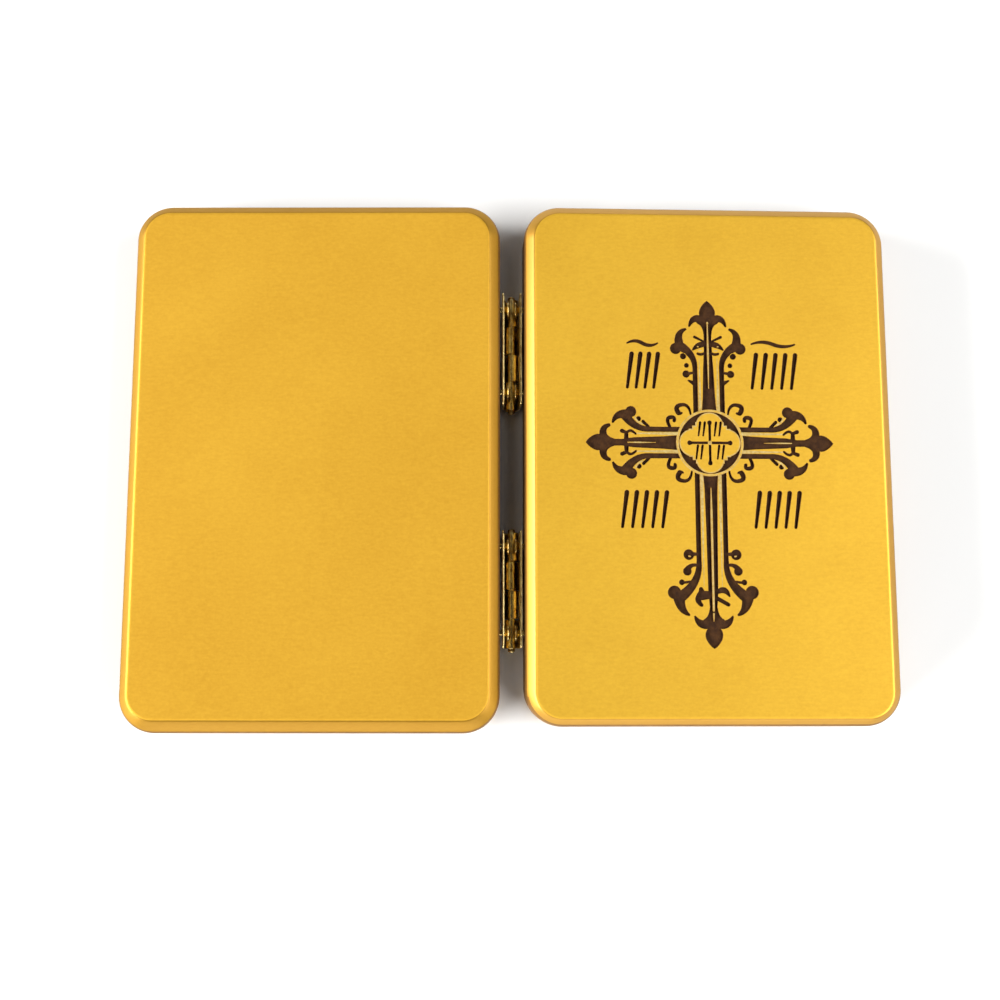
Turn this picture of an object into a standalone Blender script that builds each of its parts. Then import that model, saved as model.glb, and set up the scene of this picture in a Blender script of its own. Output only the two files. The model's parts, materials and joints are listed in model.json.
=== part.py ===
"""Diptych icon: two small gilded boards joined by two brass hinges, lying open with the outer faces up.

X runs across the two boards, Y runs up the icon and Z is up from the table. The hinge line lies over X = 0.
Each half of the diptych hangs from an empty on the hinge line, and the two halves are the same way round
when the back half is turned half a turn about Z, as the two leaves of a butt hinge are.
"""

import math

import bmesh
import bpy
from mathutils import Matrix, Vector
from mathutils.geometry import delaunay_2d_cdt

MM = 0.001
WELD_DISTANCE = 0.002 * MM

# Boards
BOARD_WIDTH = 75.0 * MM
FRONT_HEIGHT = 106.3 * MM
BACK_HEIGHT = 107.6 * MM
BOARD_THICKNESS = 9.0 * MM
CORNER_RADIUS = 7.3 * MM
FACE_CHAMFER = 2.1 * MM
FRONT_FOOT_CHAMFER = 1.6 * MM
BACK_FOOT_CHAMFER = 2.6 * MM
INNER_EDGE_EASE = 0.4 * MM
CORNER_STEPS = 7

# Hinge line and gap between the boards
HALF_GAP = 2.35 * MM
AXIS_BELOW_INNER_FACE = 0.1 * MM
UPPER_HINGE_DROP = 30.0 * MM
LOWER_HINGE_RISE = 27.1 * MM

# Hinges, each rolled from one sheet
HINGE_LENGTH = 23.6 * MM
LEAF_REACH = 6.6 * MM
LEAF_FOOT = 1.2 * MM
SHEET = 0.6 * MM
BARREL_RADIUS = 1.5 * MM
KNUCKLE_PAIR_COUNT = 2
LEAF_BED_GAP = 0.3 * MM
KNUCKLE_GAP = 0.25 * MM
PIN_CLEARANCE = 0.15 * MM
PIN_PROUD = 0.8 * MM
BARREL_WRAP = math.radians(285.0)
BARREL_STEPS = 15
LEAF_CORNER = 0.9 * MM

# Nails, two in each leaf
NAIL_INSET = 3.1 * MM
NAIL_HEAD_RADIUS = 1.7 * MM
NAIL_DOME = 0.8 * MM
NAIL_STAND_OFF = 0.3 * MM
NAIL_SHANK_RADIUS = 0.55 * MM
NAIL_LENGTH = 9.0 * MM
NAIL_POINT = 1.6 * MM
NAIL_CLEARANCE = 0.2 * MM
NAIL_SIDES = 12
DOME_STEPS = 4
PIN_SIDES = 16

# Engraved cross on the front board
ENGRAVING_DEPTH = 0.4 * MM
CROSS_DROP = 49.9 * MM
CROSS_SHIFT = -0.2 * MM
TOP_REACH = 29.5 * MM
FOOT_REACH = 41.2 * MM
SIDE_REACH = 25.1 * MM
TOP_END = 9.95 * MM
FOOT_END = 10.85 * MM
SIDE_END = 9.0 * MM
TOP_BALL_OFFSET = 6.5 * MM
FOOT_BALL_OFFSET = 7.65 * MM
SIDE_BALL_OFFSET = 6.4 * MM
TOP_FLARE = 13.6 * MM
FOOT_FLARE = 17.0 * MM
SIDE_FLARE = 12.2 * MM
ARM_BEAD_COUNT = 3
SIDE_ARM_BEAD_COUNT = 2
BEAD_PITCH = 1.8 * MM
FOOT_BEAD_PITCH = 2.6 * MM
SIDE_BEAD_PITCH = 1.2 * MM
ARM_BAR_OFFSET = 2.72 * MM
ARM_BAR_WIDTH = 1.0 * MM
STEM_ROOT_WIDTH = 2.7 * MM
STEM_WIDTH = 2.1 * MM
STEM_NECK_WIDTH = 1.6 * MM
RIB_START = 10.6 * MM
RIB_WIDTH = 0.36 * MM
CURVE_STEPS = 5
DISC_SIDES = 10
BEAD_SIDES = 8
RING_SIDES = 40
LOBE_SIDES = 14
SPRIG_STEPS = 3

# Medallion at the crossing
MEDALLION_RADIUS = 6.85 * MM
MEDALLION_RING = 0.8 * MM
QUATREFOIL_REACH = 5.6 * MM
QUATREFOIL_LOBE = 2.4 * MM
QUATREFOIL_SQUARE = 3.55 * MM
INNER_CROSS_REACH = 4.3 * MM
INNER_CROSS_WIDTH = 0.4 * MM
BOSS_RADIUS = 0.42 * MM

# Rows of strokes in the four corners and in the medallion
ROW_HEIGHT = 7.0 * MM
ROW_STROKE = 0.85 * MM
ROW_LEAN = math.radians(8.0)
UPPER_ROWS_RISE = 14.8 * MM
LOWER_ROWS_DROP = 13.6 * MM
ROW_OFFSET = 13.4 * MM
NARROW_ROW = 6.2 * MM
WIDE_ROW = 8.9 * MM
ROW_PITCH = 2.0 * MM
WAVE_RISE = 5.7 * MM
WAVE_WIDTH = 0.75 * MM
WAVE_TIP = 0.3 * MM
WAVE_SWING = 0.9 * MM
SMALL_ROW_WIDTH = 1.4 * MM
SMALL_ROW_HEIGHT = 2.7 * MM
SMALL_ROW_STROKE = 0.45 * MM
SMALL_ROW_SHARES = ((0.286, 0.491), (0.375, -0.339))

GILT = (0.80, 0.47, 0.07, 1.0)
BRASS = (0.60, 0.42, 0.16, 1.0)
NAIL_BRASS = (0.45, 0.30, 0.12, 1.0)


def clear_scene():
    for item in list(bpy.data.objects):
        bpy.data.objects.remove(item, do_unlink=True)


def make_material(name, colour, metallic, roughness):
    material = bpy.data.materials.new(name)
    material.use_nodes = True
    shader = material.node_tree.nodes["Principled BSDF"]
    shader.inputs["Base Color"].default_value = colour
    shader.inputs["Metallic"].default_value = metallic
    shader.inputs["Roughness"].default_value = roughness
    return material


def add_object(name, mesh, parent, location, material):
    item = bpy.data.objects.new(name, mesh)
    bpy.context.collection.objects.link(item)
    item.parent = parent
    item.location = location
    if material and not mesh.materials:
        mesh.materials.append(material)
    return item


def add_cutter(name, mesh, parent, location):
    item = add_object(name, mesh, parent, location, None)
    item.hide_render = True
    item.display_type = "WIRE"
    return item


def subtract(item, cutter):
    cut = item.modifiers.new("Holes", "BOOLEAN")
    cut.operation = "DIFFERENCE"
    cut.solver = "EXACT"
    cut.object = cutter


def finish_mesh(bm, name, smooth_angle=None):
    bmesh.ops.recalc_face_normals(bm, faces=bm.faces)
    mesh = bpy.data.meshes.new(name)
    bm.to_mesh(mesh)
    bm.free()
    if smooth_angle:
        mesh.shade_smooth()
        mesh.set_sharp_from_angle(angle=smooth_angle)
    return mesh


# Outlines of the ornament, as closed loops of points

def disc(centre, radius, sides=DISC_SIDES):
    turn = 2.0 * math.pi / sides
    return [centre + radius * Vector((math.cos(k * turn), math.sin(k * turn))) for k in range(sides)]


def box_outline(centre, half_x, half_y):
    corners = ((-half_x, -half_y), (half_x, -half_y), (half_x, half_y), (-half_x, half_y))
    return [centre + Vector(corner) for corner in corners]


def bend(values, t):
    """Point at t on the straight or curved line that two or three control values give."""
    if len(values) == 2:
        return values[0] * (1.0 - t) + values[1] * t
    start, middle, end = values
    return start * (1.0 - t) ** 2 + middle * 2.0 * t * (1.0 - t) + end * t ** 2


def stroke(points, widths, steps=None):
    """Outline of a tapered stroke, with a bevelled tip at each end."""
    if steps is None:
        steps = 1 if len(points) == 2 else CURVE_STEPS
    spine = [bend(points, k / steps) for k in range(steps + 1)]
    left = []
    right = []
    for k, point in enumerate(spine):
        tangent = (spine[min(k + 1, steps)] - spine[max(k - 1, 0)]).normalized()
        side = Vector((-tangent.y, tangent.x)) * bend(widths, k / steps) * 0.5
        left.append(point + side)
        right.append(point - side)
        if k == 0:
            start_tip = point - tangent * widths[0] * 0.4
        if k == steps:
            end_tip = point + tangent * widths[-1] * 0.4
    return right + [end_tip] + left[::-1] + [start_tip]


def leaf(base, tip, width):
    """Outline of a pointed leaf, widest just past its middle."""
    axis = tip - base
    side = Vector((-axis.y, axis.x)).normalized() * width * 0.5
    profile = [(k / CURVE_STEPS, math.sin(math.pi * (k / CURVE_STEPS) ** 0.9) ** 0.8) for k in
               range(1, CURVE_STEPS)]
    right = [base + axis * t - side * swell for t, swell in profile]
    left = [base + axis * t + side * swell for t, swell in profile]
    return [base] + right + [tip] + left[::-1]


def turned(outlines, angle, centre):
    rotation = Matrix.Rotation(angle, 2)
    return [[centre + rotation @ point for point in outline] for outline in outlines]


def arm_end(reach, length, half_width, flare_start, beads, bead_pitch):
    """Flared end of an arm that points along +Y: bud, curled leaves, horns, balls, sprigs and beads.

    length runs from the tip back to the balls, and half_width out from the arm's middle to a ball's centre.
    The carving is drawn in shares of those two.
    """
    def at(side, back, aside):
        return Vector((side * aside * half_width, reach - back * length))

    cuts = [leaf(at(1, 0.47, 0.0), at(1, 0.0, 0.0), 0.46 * half_width)]
    for side in (-1, 1):
        cuts.append(stroke([at(side, 0.46, 0.08), at(side, 0.30, 0.45), at(side, 0.59, 0.52)],
                           [0.13 * length, 0.26 * length, 0.05 * length]))
        cuts.append(stroke([Vector((side * ARM_BAR_OFFSET, reach - flare_start)), at(side, 1.22, 0.37),
                            at(side, 0.95, 0.82)], [ARM_BAR_WIDTH, 1.1 * ARM_BAR_WIDTH, 0.19 * length]))
        cuts.append(stroke([at(side, 0.99, 0.80), at(side, 0.66, 1.02), at(side, 0.62, 0.64)],
                           [0.19 * length, 0.20 * length, 0.06 * length]))
        cuts.append(disc(at(side, 1.0, 1.0), 0.125 * length))
        cuts.append(stroke([at(side, 1.03, 0.10), at(side, 1.10, 0.34), at(side, 0.93, 0.44)],
                           [0.08 * length, 0.12 * length, 0.04 * length], SPRIG_STEPS))
        cuts.append(stroke([at(side, 0.95, 0.10), at(side, 0.86, 0.22), at(side, 0.82, 0.40)],
                           [0.06 * length, 0.10 * length, 0.05 * length], SPRIG_STEPS))
        for k in range(beads):
            size = (0.06 + 0.022 * k) * length
            place = at(side, 1.2, 0.80 - 0.08 * k) - Vector((0.0, bead_pitch * k))
            cuts.append(disc(place, size, BEAD_SIDES))
    return cuts


def arm(reach, length, half_width, flare_start, beads, bead_pitch):
    """Cut outlines and kept rib of one arm that points along +Y."""
    inside_ring = MEDALLION_RADIUS - MEDALLION_RING
    cuts = arm_end(reach, length, half_width, flare_start, beads, bead_pitch)
    for side in (-1, 1):
        foot = Vector((side * ARM_BAR_OFFSET, inside_ring - ARM_BAR_WIDTH))
        cuts.append(stroke([foot, Vector((foot.x, reach - 0.98 * flare_start))], [ARM_BAR_WIDTH] * 2))
    root = Vector((0.0, inside_ring))
    shoulder = Vector((0.0, reach - 1.2 * length))
    neck = Vector((0.0, reach - 0.72 * length))
    bud = Vector((0.0, reach - 0.40 * length))
    cuts.append(stroke([root, shoulder], [STEM_ROOT_WIDTH, STEM_WIDTH]))
    cuts.append(stroke([shoulder, neck], [STEM_WIDTH, STEM_NECK_WIDTH]))
    cuts.append(stroke([neck, bud], [STEM_NECK_WIDTH, STEM_NECK_WIDTH]))
    rib_end = Vector((0.0, reach - 0.52 * length))
    rib = stroke([Vector((0.0, RIB_START)), rib_end], [RIB_WIDTH, RIB_WIDTH])
    return cuts, rib


def scrolls():
    """Two small scrolls beside the medallion in the quarter between +X and +Y, in shares of its radius."""
    size = MEDALLION_RADIUS

    def at(x, y):
        return Vector((x * size, y * size))

    tall_hook = stroke([at(0.57, 0.88), at(0.73, 1.40), at(0.98, 1.02)],
                       [0.07 * size, 0.13 * size, 0.13 * size])
    tall_ball = disc(at(0.91, 0.96), 0.09 * size, BEAD_SIDES)
    low_hook = stroke([at(1.18, 0.45), at(1.34, 0.79), at(1.11, 0.76)],
                      [0.09 * size, 0.13 * size, 0.10 * size])
    low_ball = disc(at(1.10, 0.69), 0.096 * size, BEAD_SIDES)
    return [tall_hook, tall_ball, low_hook, low_ball]


def mirrored(outlines, flip_x, flip_y):
    return [[Vector((point.x * flip_x, point.y * flip_y)) for point in outline] for outline in outlines]


def stroke_row(centre, width, height, thickness, pitch_wanted):
    """Row of leaning tapered strokes, which stand in for an inscription and spell nothing."""
    lean = Vector((math.sin(ROW_LEAN), math.cos(ROW_LEAN))) * height * 0.5
    count = max(2, 1 + round((width - thickness) / pitch_wanted))
    pitch = (width - thickness) / (count - 1)
    rows = []
    for k in range(count):
        middle = centre + Vector((pitch * (k - (count - 1) / 2.0), 0.0))
        rows.append(stroke([middle - lean, middle + lean], [0.7 * thickness, 1.1 * thickness]))
    return rows


def wave(centre, width):
    """Low wavy stroke over a row."""
    swing = Vector((0.0, WAVE_SWING))
    reach = Vector((width / 2.0, 0.0))
    widths = [WAVE_TIP, WAVE_WIDTH, WAVE_WIDTH]
    first = stroke([centre - reach, centre - reach / 2.0 + swing, centre], widths)
    second = stroke([centre, centre + reach / 2.0 - swing, centre + reach], widths[::-1])
    return [first, second]


def inscriptions():
    """Rows of strokes in the four corners around the cross, with a wavy stroke over the upper two."""
    cuts = []
    for side, width in ((-1, NARROW_ROW), (1, WIDE_ROW)):
        centre = Vector((side * ROW_OFFSET, UPPER_ROWS_RISE))
        cuts += stroke_row(centre, width, ROW_HEIGHT, ROW_STROKE, ROW_PITCH)
        cuts += wave(centre + Vector((0.0, WAVE_RISE)), width)
        centre = Vector((side * ROW_OFFSET, -LOWER_ROWS_DROP))
        cuts += stroke_row(centre, WIDE_ROW, ROW_HEIGHT, ROW_STROKE, ROW_PITCH)
    return cuts


def medallion():
    """Layers of the medallion, each as its outlines and whether they are cut."""
    origin = Vector((0.0, 0.0))
    ring = disc(origin, MEDALLION_RADIUS, RING_SIDES)
    field = disc(origin, MEDALLION_RADIUS - MEDALLION_RING, RING_SIDES)
    lobes = [box_outline(origin, QUATREFOIL_SQUARE, QUATREFOIL_SQUARE)]
    marks = []
    for quarter in range(4):
        direction = Matrix.Rotation(quarter * math.pi / 2.0, 2) @ Vector((0.0, 1.0))
        lobes.append(disc(direction * (QUATREFOIL_REACH - QUATREFOIL_LOBE), QUATREFOIL_LOBE, LOBE_SIDES))
        marks.append(stroke([origin, direction * INNER_CROSS_REACH],
                            [INNER_CROSS_WIDTH, 1.8 * INNER_CROSS_WIDTH]))
    for side in (-1, 1):
        for aside, rise in SMALL_ROW_SHARES:
            centre = Vector((side * aside, rise)) * QUATREFOIL_REACH
            marks += stroke_row(centre, SMALL_ROW_WIDTH, SMALL_ROW_HEIGHT, SMALL_ROW_STROKE,
                                SMALL_ROW_WIDTH)
    return [([ring], False), ([field], True), (lobes, False), (marks, True),
            ([disc(origin, BOSS_RADIUS, BEAD_SIDES)], False)]


def engraving_layers():
    """Layers of outlines about the cross's centre. A later layer lies over an earlier one."""
    origin = Vector((0.0, 0.0))
    top = arm(TOP_REACH, TOP_END, TOP_BALL_OFFSET, TOP_FLARE, ARM_BEAD_COUNT, BEAD_PITCH)
    foot = arm(FOOT_REACH, FOOT_END, FOOT_BALL_OFFSET, FOOT_FLARE, ARM_BEAD_COUNT, FOOT_BEAD_PITCH)
    sideways = arm(SIDE_REACH, SIDE_END, SIDE_BALL_OFFSET, SIDE_FLARE, SIDE_ARM_BEAD_COUNT, SIDE_BEAD_PITCH)
    cuts = []
    ribs = []
    for (outlines, rib), quarters in ((top, 0), (sideways, 1), (foot, 2), (sideways, 3)):
        angle = quarters * math.pi / 2.0
        cuts += turned(outlines, angle, origin)
        ribs += turned([rib], angle, origin)
    for flip_x in (-1, 1):
        for flip_y in (-1, 1):
            cuts += mirrored(scrolls(), flip_x, flip_y)
    cuts += inscriptions()
    return [(cuts, True), (ribs, False)] + medallion()


# Boards

def rounded_outline(left, right, bottom, top, radius):
    """Counter-clockwise outline of a rectangle with round corners."""
    centres = ((right - radius, bottom + radius, -0.5), (right - radius, top - radius, 0.0),
               (left + radius, top - radius, 0.5), (left + radius, bottom + radius, 1.0))
    points = []
    for x, y, half_turns in centres:
        for k in range(CORNER_STEPS + 1):
            angle = math.pi * (half_turns + 0.5 * k / CORNER_STEPS)
            points.append(Vector((x + radius * math.cos(angle), y + radius * math.sin(angle))))
    return points


def add_loop(bm, outline, height):
    ring = [bm.verts.new((point.x, point.y, height)) for point in outline]
    return [bm.edges.new((ring[k - 1], ring[k])) for k in range(len(ring))]


def counter_clockwise(outline):
    doubled = sum(a.cross(b) for a, b in zip(outline, outline[1:] + outline[:1]))
    return outline if doubled > 0.0 else outline[::-1]


def add_engraved_face(bm, outline, layers, centre, height):
    """Front face with the layers cut into it, and the edges of its outline."""
    points = []
    loops = []
    is_cut = []
    for outlines, cut in [([outline], False)] + layers:
        for loop in outlines:
            shift = centre if is_cut else Vector((0.0, 0.0))
            loops.append(list(range(len(points), len(points) + len(loop))))
            points += [point + shift for point in counter_clockwise(loop)]
            is_cut.append(cut)
    flat, _, faces, _, _, owners = delaunay_2d_cdt(points, [], loops, 1, WELD_DISTANCE)
    verts = [bm.verts.new((point.x, point.y, height)) for point in flat]
    sunk = []
    for corners, owner in zip(faces, owners):
        face = bm.faces.new([verts[corner] for corner in corners])
        if is_cut[max(owner)]:
            sunk.append(face)
    rim = [edge for edge in bm.edges if edge.is_boundary]
    grown = bmesh.ops.extrude_face_region(bm, geom=sunk, use_keep_orig=False)
    floor = [item for item in grown["geom"] if isinstance(item, bmesh.types.BMVert)]
    bmesh.ops.delete(bm, geom=sunk, context="FACES_ONLY")
    bmesh.ops.translate(bm, verts=floor, vec=(0.0, 0.0, -ENGRAVING_DEPTH))
    return rim


def board_mesh(name, height, foot_chamfer, foot_side, layers=None, centre=None):
    """Board about its own centre, inner face at Z = 0. foot_side is -1 where the foot is towards -Y."""
    half_w = BOARD_WIDTH / 2.0
    half_h = height / 2.0
    low_chamfer = foot_chamfer if foot_side < 0 else FACE_CHAMFER
    high_chamfer = foot_chamfer if foot_side > 0 else FACE_CHAMFER
    bm = bmesh.new()
    face = rounded_outline(-half_w + FACE_CHAMFER, half_w - FACE_CHAMFER, -half_h + low_chamfer,
                           half_h - high_chamfer, CORNER_RADIUS - FACE_CHAMFER)
    side = rounded_outline(-half_w, half_w, -half_h, half_h, CORNER_RADIUS)
    ease = INNER_EDGE_EASE
    inner = rounded_outline(-half_w + ease, half_w - ease, -half_h + ease, half_h - ease,
                            CORNER_RADIUS - ease)
    if layers:
        face_edges = add_engraved_face(bm, face, layers, centre, BOARD_THICKNESS)
    else:
        face_edges = add_loop(bm, face, BOARD_THICKNESS)
        bmesh.ops.edgeloop_fill(bm, edges=face_edges)
    arris_edges = add_loop(bm, side, BOARD_THICKNESS - FACE_CHAMFER)
    ease_edges = add_loop(bm, side, ease)
    inner_edges = add_loop(bm, inner, 0.0)
    bmesh.ops.bridge_loops(bm, edges=face_edges + arris_edges)
    bmesh.ops.bridge_loops(bm, edges=arris_edges + ease_edges)
    bmesh.ops.bridge_loops(bm, edges=ease_edges + inner_edges)
    bmesh.ops.edgeloop_fill(bm, edges=inner_edges)
    return finish_mesh(bm, name)


# Hinges

def leaf_spine():
    """Middle line of the sheet in X and Z, from the leaf's free edge down and round the barrel.

    Returns the points and how many of them belong to the flat leaf.
    """
    flat_x = HALF_GAP - LEAF_BED_GAP - SHEET / 2.0
    rolled = BARREL_RADIUS - SHEET / 2.0
    points = [Vector((flat_x, LEAF_REACH)), Vector((flat_x, LEAF_FOOT))]
    points.append(Vector(((flat_x + rolled) / 2.0, LEAF_FOOT / 2.0)))
    for k in range(BARREL_STEPS + 1):
        angle = -BARREL_WRAP * k / BARREL_STEPS
        points.append(Vector((rolled * math.cos(angle), rolled * math.sin(angle))))
    return points, 2


def leaf_mesh(name):
    """One leaf with its own knuckles. Its twin, turned about Z, has the knuckles in between."""
    spine, flat_count = leaf_spine()
    pitch = HINGE_LENGTH / (2 * KNUCKLE_PAIR_COUNT)
    ends = [-HINGE_LENGTH / 2.0]
    for k in range(KNUCKLE_PAIR_COUNT):
        own_start = -HINGE_LENGTH / 2.0 + 2 * k * pitch
        if k:
            ends.append(own_start + KNUCKLE_GAP / 2.0)
        ends.append(own_start + pitch - KNUCKLE_GAP / 2.0)
    ends.append(HINGE_LENGTH / 2.0)
    bm = bmesh.new()
    row = [bm.verts.new((point.x, ends[0], point.y)) for point in spine]
    edges = [bm.edges.new((row[k], row[k + 1])) for k in range(len(row) - 1)]
    slots = []
    for band in range(len(ends) - 1):
        grown = bmesh.ops.extrude_edge_only(bm, edges=edges)["geom"]
        faces = [item for item in grown if isinstance(item, bmesh.types.BMFace)]
        verts = [item for item in grown if isinstance(item, bmesh.types.BMVert)]
        edges = [item for item in grown if isinstance(item, bmesh.types.BMEdge)
                 and all(vert in verts for vert in item.verts)]
        bmesh.ops.translate(bm, verts=verts, vec=(0.0, ends[band + 1] - ends[band], 0.0))
        if band % 2:
            foot = spine[flat_count - 1].y
            slots += [face for face in faces if face.calc_center_median().z < foot
                      or face.calc_center_median().x < spine[0].x - 0.1 * SHEET]
    bmesh.ops.delete(bm, geom=slots, context="FACES")
    corners = [vert for vert in bm.verts if vert.co.z > LEAF_REACH - 0.1 * SHEET
               and abs(vert.co.y) > HINGE_LENGTH / 2.0 - 0.1 * SHEET]
    bmesh.ops.bevel(bm, geom=corners, offset=LEAF_CORNER, affect="VERTICES", segments=3, profile=0.5,
                    material=-1)
    return finish_mesh(bm, name)


def nail_mesh(name):
    """Dome-headed nail along +X, its head's underside at X = 0."""
    profile = []
    for k in range(DOME_STEPS + 1):
        angle = 0.5 * math.pi * k / DOME_STEPS
        profile.append(Vector((-NAIL_DOME * math.cos(angle), NAIL_HEAD_RADIUS * math.sin(angle))))
    profile.append(Vector((0.0, NAIL_SHANK_RADIUS)))
    profile.append(Vector((NAIL_LENGTH - NAIL_POINT, NAIL_SHANK_RADIUS)))
    profile.append(Vector((NAIL_LENGTH, 0.0)))
    bm = bmesh.new()
    chain = [bm.verts.new((point.x, 0.0, point.y)) for point in profile]
    edges = [bm.edges.new((chain[k], chain[k + 1])) for k in range(len(chain) - 1)]
    bmesh.ops.spin(bm, geom=chain + edges, cent=(0.0, 0.0, 0.0), axis=(1.0, 0.0, 0.0), angle=2.0 * math.pi,
                   steps=NAIL_SIDES, use_merge=True)
    bmesh.ops.remove_doubles(bm, verts=bm.verts, dist=WELD_DISTANCE)
    return finish_mesh(bm, name, math.radians(40.0))


def pin_mesh(name):
    """Hinge pin along Y, its ends rounded over."""
    radius = BARREL_RADIUS - SHEET - PIN_CLEARANCE
    length = HINGE_LENGTH + 2.0 * PIN_PROUD
    bm = bmesh.new()
    turn = Matrix.Rotation(math.pi / 2.0, 4, "X")
    bmesh.ops.create_cone(bm, cap_ends=True, segments=PIN_SIDES, radius1=radius, radius2=radius, depth=length,
                          matrix=turn)
    rims = [edge for edge in bm.edges if abs(edge.verts[0].co.y - edge.verts[1].co.y) < length / 2.0]
    bmesh.ops.bevel(bm, geom=rims, offset=0.4 * radius, affect="EDGES", segments=2, profile=0.5,
                    material=-1)
    return finish_mesh(bm, name, math.radians(40.0))


def hole_cutter_mesh(name, places, depth):
    """Cylinders along +X from each place, one hole's clearance larger than the nail's shank."""
    bm = bmesh.new()
    radius = NAIL_SHANK_RADIUS + NAIL_CLEARANCE
    along_x = Matrix.Rotation(math.pi / 2.0, 4, "Y")
    for place in places:
        middle = Matrix.Translation(place + Vector((depth / 2.0, 0.0, 0.0)))
        bmesh.ops.create_cone(bm, cap_ends=True, segments=NAIL_SIDES, radius1=radius, radius2=radius,
                              depth=depth, matrix=middle @ along_x)
    return finish_mesh(bm, name)


def nail_places(hinge_y):
    """Where the underside of each nail head sits in a half's frame, halfway up the flat of the leaf."""
    head_x = HALF_GAP - LEAF_BED_GAP - SHEET - NAIL_STAND_OFF
    height = (LEAF_REACH + LEAF_FOOT) / 2.0
    spread = HINGE_LENGTH / 2.0 - NAIL_INSET
    return [Vector((head_x, hinge_y + side * spread, height)) for side in (-1, 1)]


def rest_tilt():
    """Slope of each board when the barrels and the boards' far edges stand on the table."""
    reach = HALF_GAP + BOARD_WIDTH - INNER_EDGE_EASE
    return math.asin(BARREL_RADIUS / math.hypot(reach, AXIS_BELOW_INNER_FACE)) + math.atan2(
        AXIS_BELOW_INNER_FACE, reach)


def add_half(name, half_turns):
    """Empty on the hinge line that carries one board, its leaves and their nails."""
    half = bpy.data.objects.new(name, None)
    bpy.context.collection.objects.link(half)
    half.location = (0.0, 0.0, BARREL_RADIUS)
    half.rotation_euler = (0.0, rest_tilt(), half_turns * math.pi)
    return half


def add_board(name, half, mesh, middle_y, hinge_ys, material):
    middle = (HALF_GAP + BOARD_WIDTH / 2.0, middle_y, AXIS_BELOW_INNER_FACE)
    board = add_object(name, mesh, half, middle, material)
    places = [place for hinge_y in hinge_ys for place in nail_places(hinge_y)]
    holes = hole_cutter_mesh(name + "_holes", places, NAIL_LENGTH + NAIL_CLEARANCE)
    subtract(board, add_cutter(name + "_nail_holes", holes, half, (0.0, 0.0, 0.0)))


def add_leaf(name, half, mesh, hinge_y, cutter_mesh, material):
    item = add_object(name, mesh, half, (0.0, hinge_y, 0.0), material)
    thick = item.modifiers.new("Sheet", "SOLIDIFY")
    thick.thickness = SHEET
    thick.offset = 0.0
    thick.use_even_offset = True
    subtract(item, add_cutter(name + "_holes", cutter_mesh, half, (0.0, hinge_y, 0.0)))


def main():
    clear_scene()
    front_gilt = make_material("front gilding", GILT, 0.0, 0.42)
    back_gilt = make_material("back gilding", GILT, 0.0, 0.42)
    brass = make_material("hinge brass", BRASS, 1.0, 0.32)
    pin_brass = make_material("pin brass", BRASS, 1.0, 0.35)
    nail_brass = make_material("nail brass", NAIL_BRASS, 1.0, 0.38)

    top_y = BACK_HEIGHT / 2.0
    front_foot_y = top_y - FRONT_HEIGHT
    hinges = {"upper": top_y - UPPER_HINGE_DROP, "lower": front_foot_y + LOWER_HINGE_RISE}

    back_half = add_half("back_half", 1.0)
    front_half = add_half("front_half", 0.0)

    cross_centre = Vector((CROSS_SHIFT, FRONT_HEIGHT / 2.0 - CROSS_DROP))
    layers = engraving_layers()
    front = board_mesh("front_board", FRONT_HEIGHT, FRONT_FOOT_CHAMFER, -1, layers, cross_centre)
    back = board_mesh("back_board", BACK_HEIGHT, BACK_FOOT_CHAMFER, 1)
    add_board("front_board", front_half, front, (top_y + front_foot_y) / 2.0, hinges.values(), front_gilt)
    add_board("back_board", back_half, back, 0.0, [-y for y in hinges.values()], back_gilt)

    sheet = leaf_mesh("hinge_leaf")
    hole_depth = NAIL_STAND_OFF + SHEET + LEAF_BED_GAP
    hole_mesh = hole_cutter_mesh("leaf_holes", nail_places(0.0), hole_depth)
    nail = nail_mesh("nail")
    pin = pin_mesh("pin")
    for level, hinge_y in hinges.items():
        for half_name, half, local_y in (("back", back_half, -hinge_y), ("front", front_half, hinge_y)):
            add_leaf(level + "_hinge_" + half_name + "_leaf", half, sheet, local_y, hole_mesh, brass)
            ends = ("lower", "upper") if half is front_half else ("upper", "lower")
            for end, place in zip(ends, nail_places(local_y)):
                add_object(level + "_hinge_" + half_name + "_" + end + "_nail", nail, half, place, nail_brass)
        add_object(level + "_hinge_pin", pin, back_half, (0.0, -hinge_y, 0.0), pin_brass)


main()
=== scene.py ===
# %% [markdown]
# # A pocket diptych, opened flat
#
# The real object is a pair of small boards, painted a satin gold and joined by two brass hinges. The right
# one carries a cross that was burnt into it with a laser, and the left one is plain. Somebody has laid it on
# a white table with its outer faces up and photographed it from above, by a window on the left.
#
# The frame holds the boards and hinges at their real size. Here each one gets a finer mesh of the same form
# and a finish made of nodes.

# %% Load the frame
import json
import math

import bmesh
import bpy
from mathutils import Matrix, Vector
from mathutils.geometry import delaunay_2d_cdt


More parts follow.
